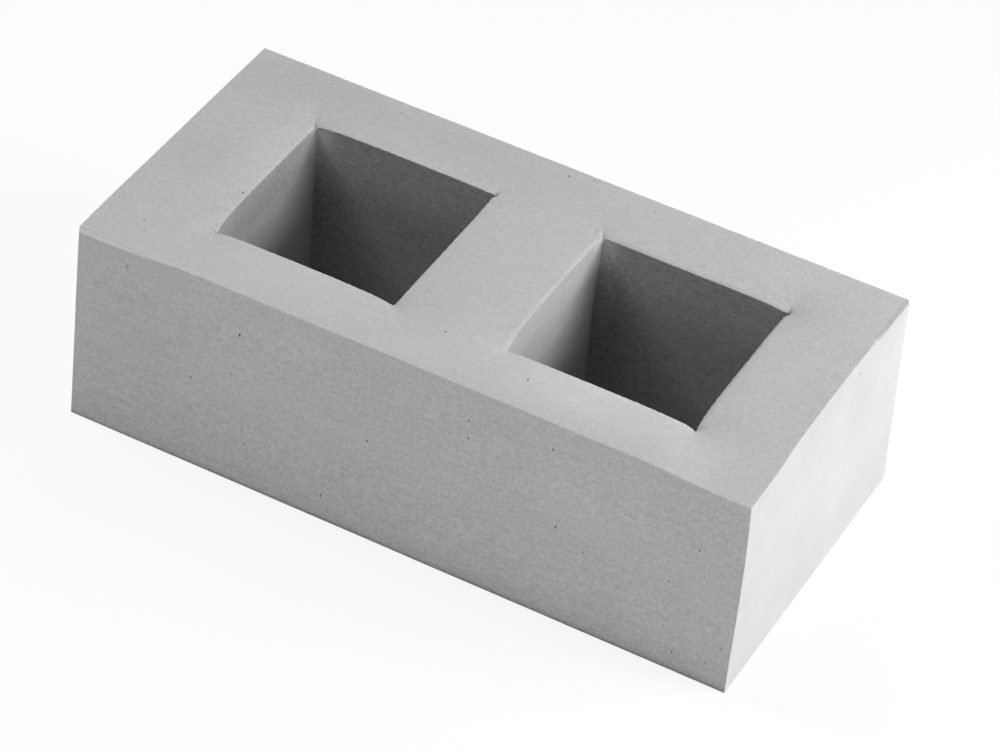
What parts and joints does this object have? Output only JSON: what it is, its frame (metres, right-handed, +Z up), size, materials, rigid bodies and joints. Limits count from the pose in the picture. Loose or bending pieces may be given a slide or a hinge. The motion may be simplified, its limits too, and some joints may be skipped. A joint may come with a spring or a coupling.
{
  "type": "concrete block",
  "caption": "Hollow building block of smooth grey concrete: a rectangular casting with thick walls round square cells that run through its height.",
  "frame": {"origin": "middle of the flat underside, on the level floor that the block lies on", "axes": "+X along the length, +Y from the front face to the back face, +Z up through the cells"},
  "size_m": [0.3915, 0.1936, 0.1287],
  "materials": {
    "concrete": "smooth fine-grained cast concrete, matt, with scattered pinholes"
  },
  "bodies": {
    "root": {"concrete_block": "concrete"}
  },
  "joints": []
}
